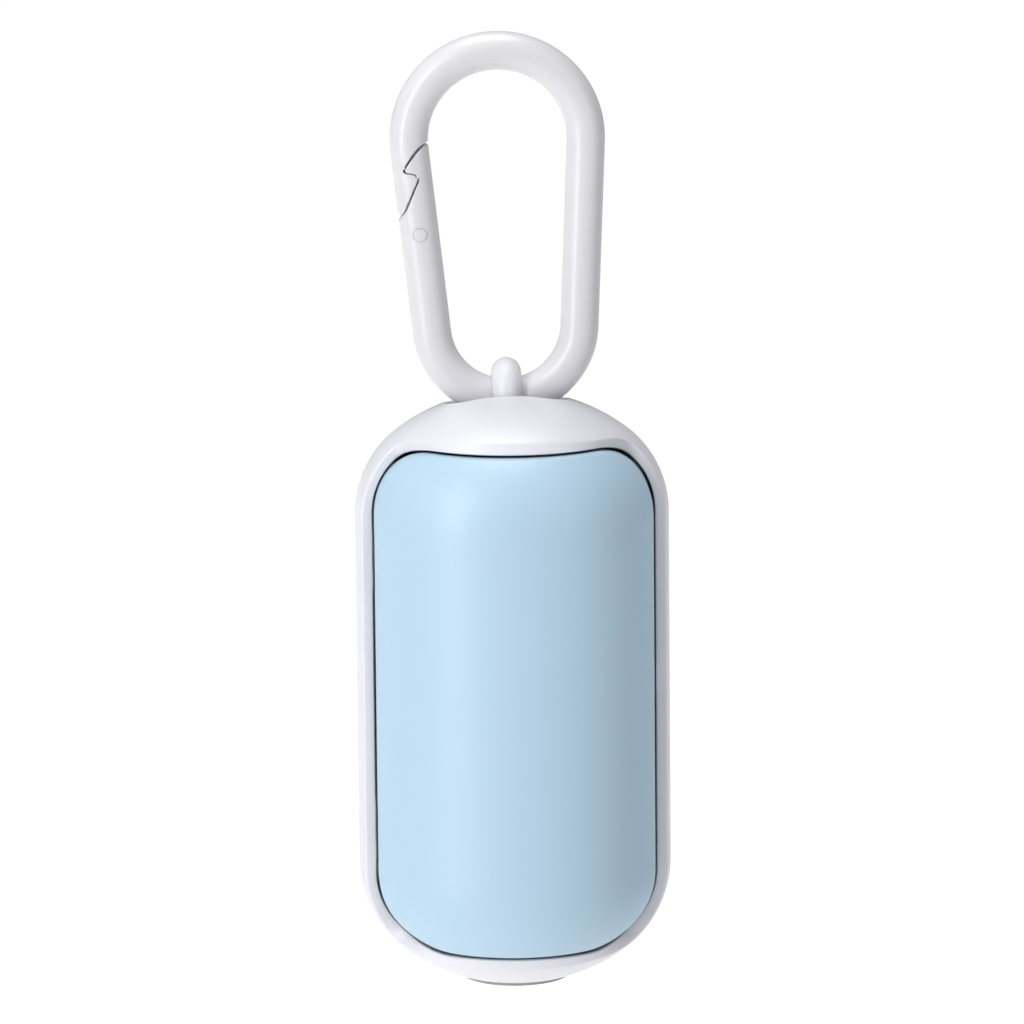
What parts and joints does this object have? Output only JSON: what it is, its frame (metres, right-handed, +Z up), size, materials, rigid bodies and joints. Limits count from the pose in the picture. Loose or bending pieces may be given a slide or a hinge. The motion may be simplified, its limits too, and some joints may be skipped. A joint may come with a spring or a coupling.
{
  "type": "pet waste bag dispenser",
  "caption": "Domed capsule dispenser for a roll of pet waste bags, with a hinged front door, a soft slit outlet underneath and a snap loop that swings on top to clip onto a lead",
  "frame": {"origin": "hanging point: inside of the snap loop's top, on the middle of its bar's thickness", "axes": "+Z up along the hanging case, -Y out of the door, +X to the right seen from the door"},
  "size_m": [0.042, 0.0418, 0.1287],
  "materials": {
    "white_shell": "satin",
    "blue_door": "satin",
    "white_loop": "satin",
    "beige_liner": "satin",
    "soft_outlet": "matte",
    "steel_pin": "drawn",
    "bag_film": "thin rolled film",
    "card_core": "wound card"
  },
  "bodies": {
    "loop": {"carabiner_loop": "white_loop"},
    "gate": {"carabiner_gate": "white_loop"},
    "case": {"front_frame": "white_shell", "rear_shell": "white_shell", "hanging_lug": "white_loop", "hinge_pin_upper": "steel_pin", "hinge_pin_lower": "steel_pin", "roll_liner": "beige_liner", "outlet_valve": "soft_outlet", "valve_clamp_ring": "beige_liner"},
    "door": {"front_door": "blue_door"},
    "roll": {"bag_roll": "bag_film", "roll_core": "card_core"}
  },
  "joints": [
    {"name": "loop_swing", "type": "hinge", "parent": "loop", "child": "case", "pos_m": [0.00087, 0, -0.04407], "axis": [1, 0, 0], "range_deg": [-33, 45]},
    {"name": "gate_flex", "type": "hinge", "parent": "loop", "child": "gate", "pos_m": [-0.00912, 0, -0.03369], "axis": [0, 1, 0], "range_deg": [0, 16], "stiffness_Nm_per_rad": 0.57},
    {"name": "door_hinge", "type": "hinge", "parent": "case", "child": "door", "pos_m": [-0.01538, -0.01, -0.0827], "axis": [0, 0, 1], "range_deg": [-80, 0]},
    {"name": "roll_spin", "type": "hinge", "parent": "case", "child": "roll", "pos_m": [0.00137, -0.003, -0.0835], "axis": [0, 0, 1], "continuous": true}
  ]
}
